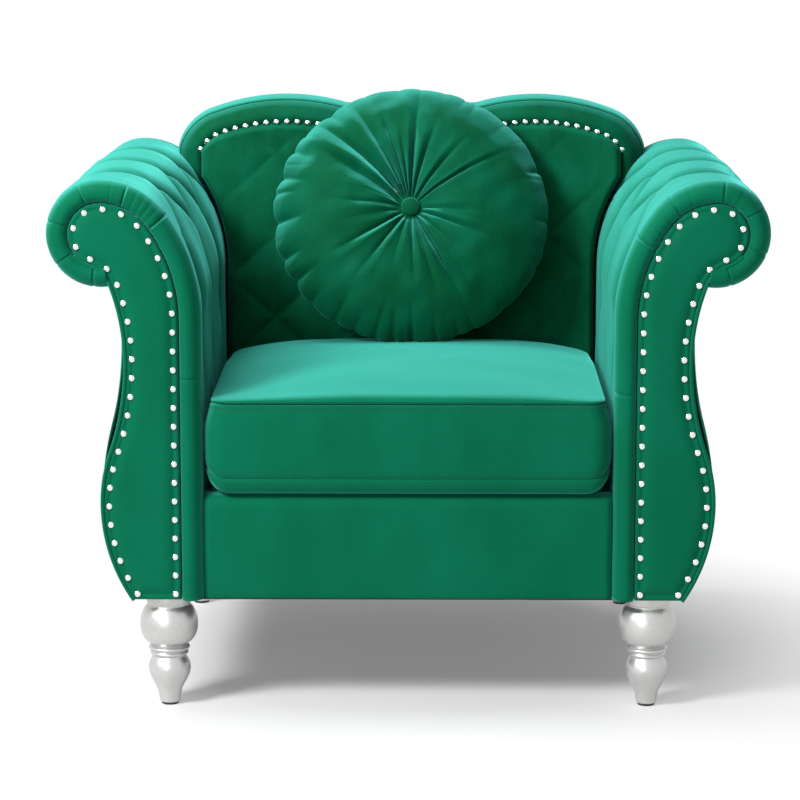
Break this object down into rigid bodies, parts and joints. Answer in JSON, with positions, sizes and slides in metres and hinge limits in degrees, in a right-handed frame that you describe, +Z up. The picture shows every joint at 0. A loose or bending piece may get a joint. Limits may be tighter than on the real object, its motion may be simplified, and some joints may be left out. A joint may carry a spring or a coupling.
{
  "type": "chesterfield armchair",
  "caption": "Velvet chesterfield armchair with rolled nailhead arms, tufted back, loose seat cushion, turned metal legs and a round pleated pillow.",
  "frame": {"origin": "centre of the overall box on the floor, under the glides", "axes": "+X across the chair to the right as seen from the front, +Y from the front to the back, +Z up"},
  "size_m": [1.062, 0.7864, 0.8824],
  "materials": {
    "velvet": "emerald velvet with a soft sheen",
    "nails": "polished domed heads",
    "legs": "satin silver",
    "glides": "matt black",
    "hardware": "zinc plated",
    "frame_wood": "sawn hardwood",
    "webbing": "woven strap",
    "dust_cloth": "thin nonwoven cloth",
    "filling": "soft white fibre"
  },
  "bodies": {
    "frame": {"arm_band_left": "velvet", "arm_band_right": "velvet", "arm_front_board_left": "frame_wood", "arm_front_board_right": "frame_wood", "arm_front_nails_left": "nails", "arm_front_nails_right": "nails", "arm_front_panel_left": "velvet", "arm_front_panel_right": "velvet", "arm_lower_rail_left": "frame_wood", "arm_lower_rail_right": "frame_wood", "arm_outer_panel_left": "velvet", "arm_outer_panel_right": "velvet", "arm_pad_left": "velvet", "arm_pad_right": "velvet", "arm_panel_piping_left": "velvet", "arm_panel_piping_right": "velvet", "arm_rear_board_left": "frame_wood", "arm_rear_board_right": "frame_wood", "arm_rear_cover_left": "velvet", "arm_rear_cover_right": "velvet", "arm_top_rail_left": "frame_wood", "arm_top_rail_right": "frame_wood", "back_border": "velvet", "back_lower_rail": "frame_wood", "back_nails": "nails", "back_outer_panel": "velvet", "back_pad": "velvet", "back_post_left": "frame_wood", "back_post_right": "frame_wood", "back_top_rail": "frame_wood", "back_webbing": "webbing", "corner_blocks": "frame_wood", "dust_cover": "dust_cloth", "foot_glides": "glides", "front_rail_board": "frame_wood", "front_rail_cover": "velvet", "hanger_bolts": "hardware", "leg_front_left": "legs", "leg_front_right": "legs", "leg_rear_left": "legs", "leg_rear_right": "legs", "rear_rail_board": "frame_wood", "seat_deck": "velvet", "seat_webbing": "webbing", "side_rail_left": "frame_wood", "side_rail_right": "frame_wood"},
    "seat_cushion": {"seat_cushion_cover": "velvet", "seat_cushion_core": "filling", "cushion_zip": "webbing"},
    "zip": {"zip_slider": "hardware"},
    "pillow": {"pillow_cover": "velvet", "pillow_filling": "filling", "pillow_tie": "webbing", "pillow_button_front": "velvet", "pillow_button_rear": "velvet"}
  },
  "joints": [
    {"name": "cushion_slide", "type": "slide", "parent": "frame", "child": "seat_cushion", "axis": [0, -1, 0], "range_m": [0, 0.62]},
    {"name": "zip_slide", "type": "slide", "parent": "seat_cushion", "child": "zip", "axis": [1, 0, 0], "range_m": [0, 0.49]},
    {"name": "pillow_lift", "type": "slide", "parent": "frame", "child": "pillow", "axis": [0, 0, 1], "range_m": [0, 0.42]}
  ]
}
